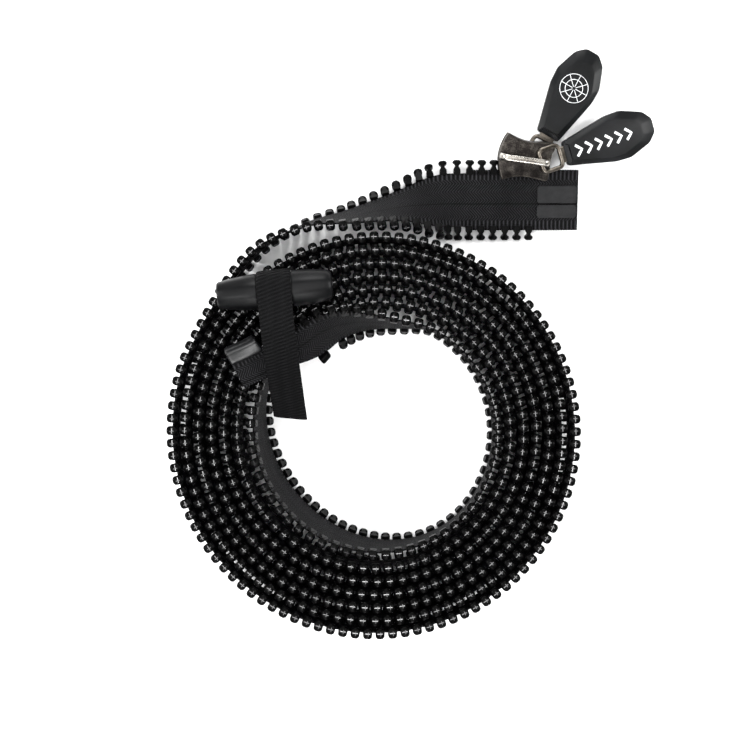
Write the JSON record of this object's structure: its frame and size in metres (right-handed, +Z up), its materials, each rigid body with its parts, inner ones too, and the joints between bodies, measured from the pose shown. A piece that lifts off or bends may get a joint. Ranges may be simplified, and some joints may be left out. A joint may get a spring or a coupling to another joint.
{
  "type": "double-edged zipper coil",
  "caption": "Coiled zipper tape with moulded teeth on both edges, a two-sided slider with two pulls, and a toggle on a webbing strap.",
  "frame": {"origin": "middle of the underside of the whole object's box", "axes": "+Z up out of the flat coil, +X along the straight outer tail towards its cut end, +Y from the coil towards the tail"},
  "size_m": [0.18, 0.218, 0.0457],
  "materials": {
    "cloth": "woven polyester",
    "teeth": "glossy moulded acetal",
    "film": "pressed-on clear film over black cloth",
    "metal": "gunmetal-plated zinc casting",
    "polished": "worn bright edge",
    "rubber": "matt moulded",
    "webbing": "ribbed webbing",
    "moulded": "satin moulded"
  },
  "bodies": {
    "coil": {"tape": "cloth", "tooth_row_top": "teeth", "tooth_row_bottom": "teeth", "edge_cord_outer": "cloth", "edge_cord_inner": "cloth", "film_face_outer": "film", "film_face_inner": "film", "film_behind": "film", "retainer_box": "moulded", "retainer_plate": "moulded", "film_inner_end": "film", "end_stop": "teeth", "webbing_strap": "webbing", "outer_tooth_1": "teeth", "outer_tooth_2": "teeth", "outer_tooth_3": "teeth", "outer_tooth_4": "teeth", "outer_tooth_5": "teeth", "outer_tooth_6": "teeth", "outer_tooth_7": "teeth", "inner_tooth_1": "teeth", "inner_tooth_2": "teeth", "inner_tooth_3": "teeth", "inner_tooth_4": "teeth", "inner_tooth_5": "teeth", "inner_tooth_6": "teeth"},
    "slider": {"slider_body": "metal", "bridge_front": "polished", "bridge_back": "polished"},
    "front_pull": {"pull_link_front": "metal", "pull_grip_front": "rubber"},
    "back_pull": {"pull_link_back": "metal", "pull_grip_back": "rubber"},
    "toggle": {"toggle_barrel": "moulded"}
  },
  "joints": [
    {"name": "slider_travel", "type": "slide", "parent": "coil", "child": "slider", "axis": [1, 0, 0], "range_m": [-0.006, 0.003]},
    {"name": "front_pull_swing", "type": "hinge", "parent": "slider", "child": "front_pull", "pos_m": [0.04636, 0.06485, 0.01421], "axis": [0.2924, -0.9318, -0.2151], "range_deg": [0, 140]},
    {"name": "back_pull_swing", "type": "hinge", "parent": "slider", "child": "back_pull", "pos_m": [0.04516, 0.0675, 0.00456], "axis": [-0.8746, 0.4724, 0.1091], "range_deg": [0, 120]},
    {"name": "toggle_spin", "type": "hinge", "parent": "coil", "child": "toggle", "pos_m": [-0.05066, 0.01616, 0.0376], "axis": [0.9951, 0.0993, 0], "continuous": true}
  ]
}
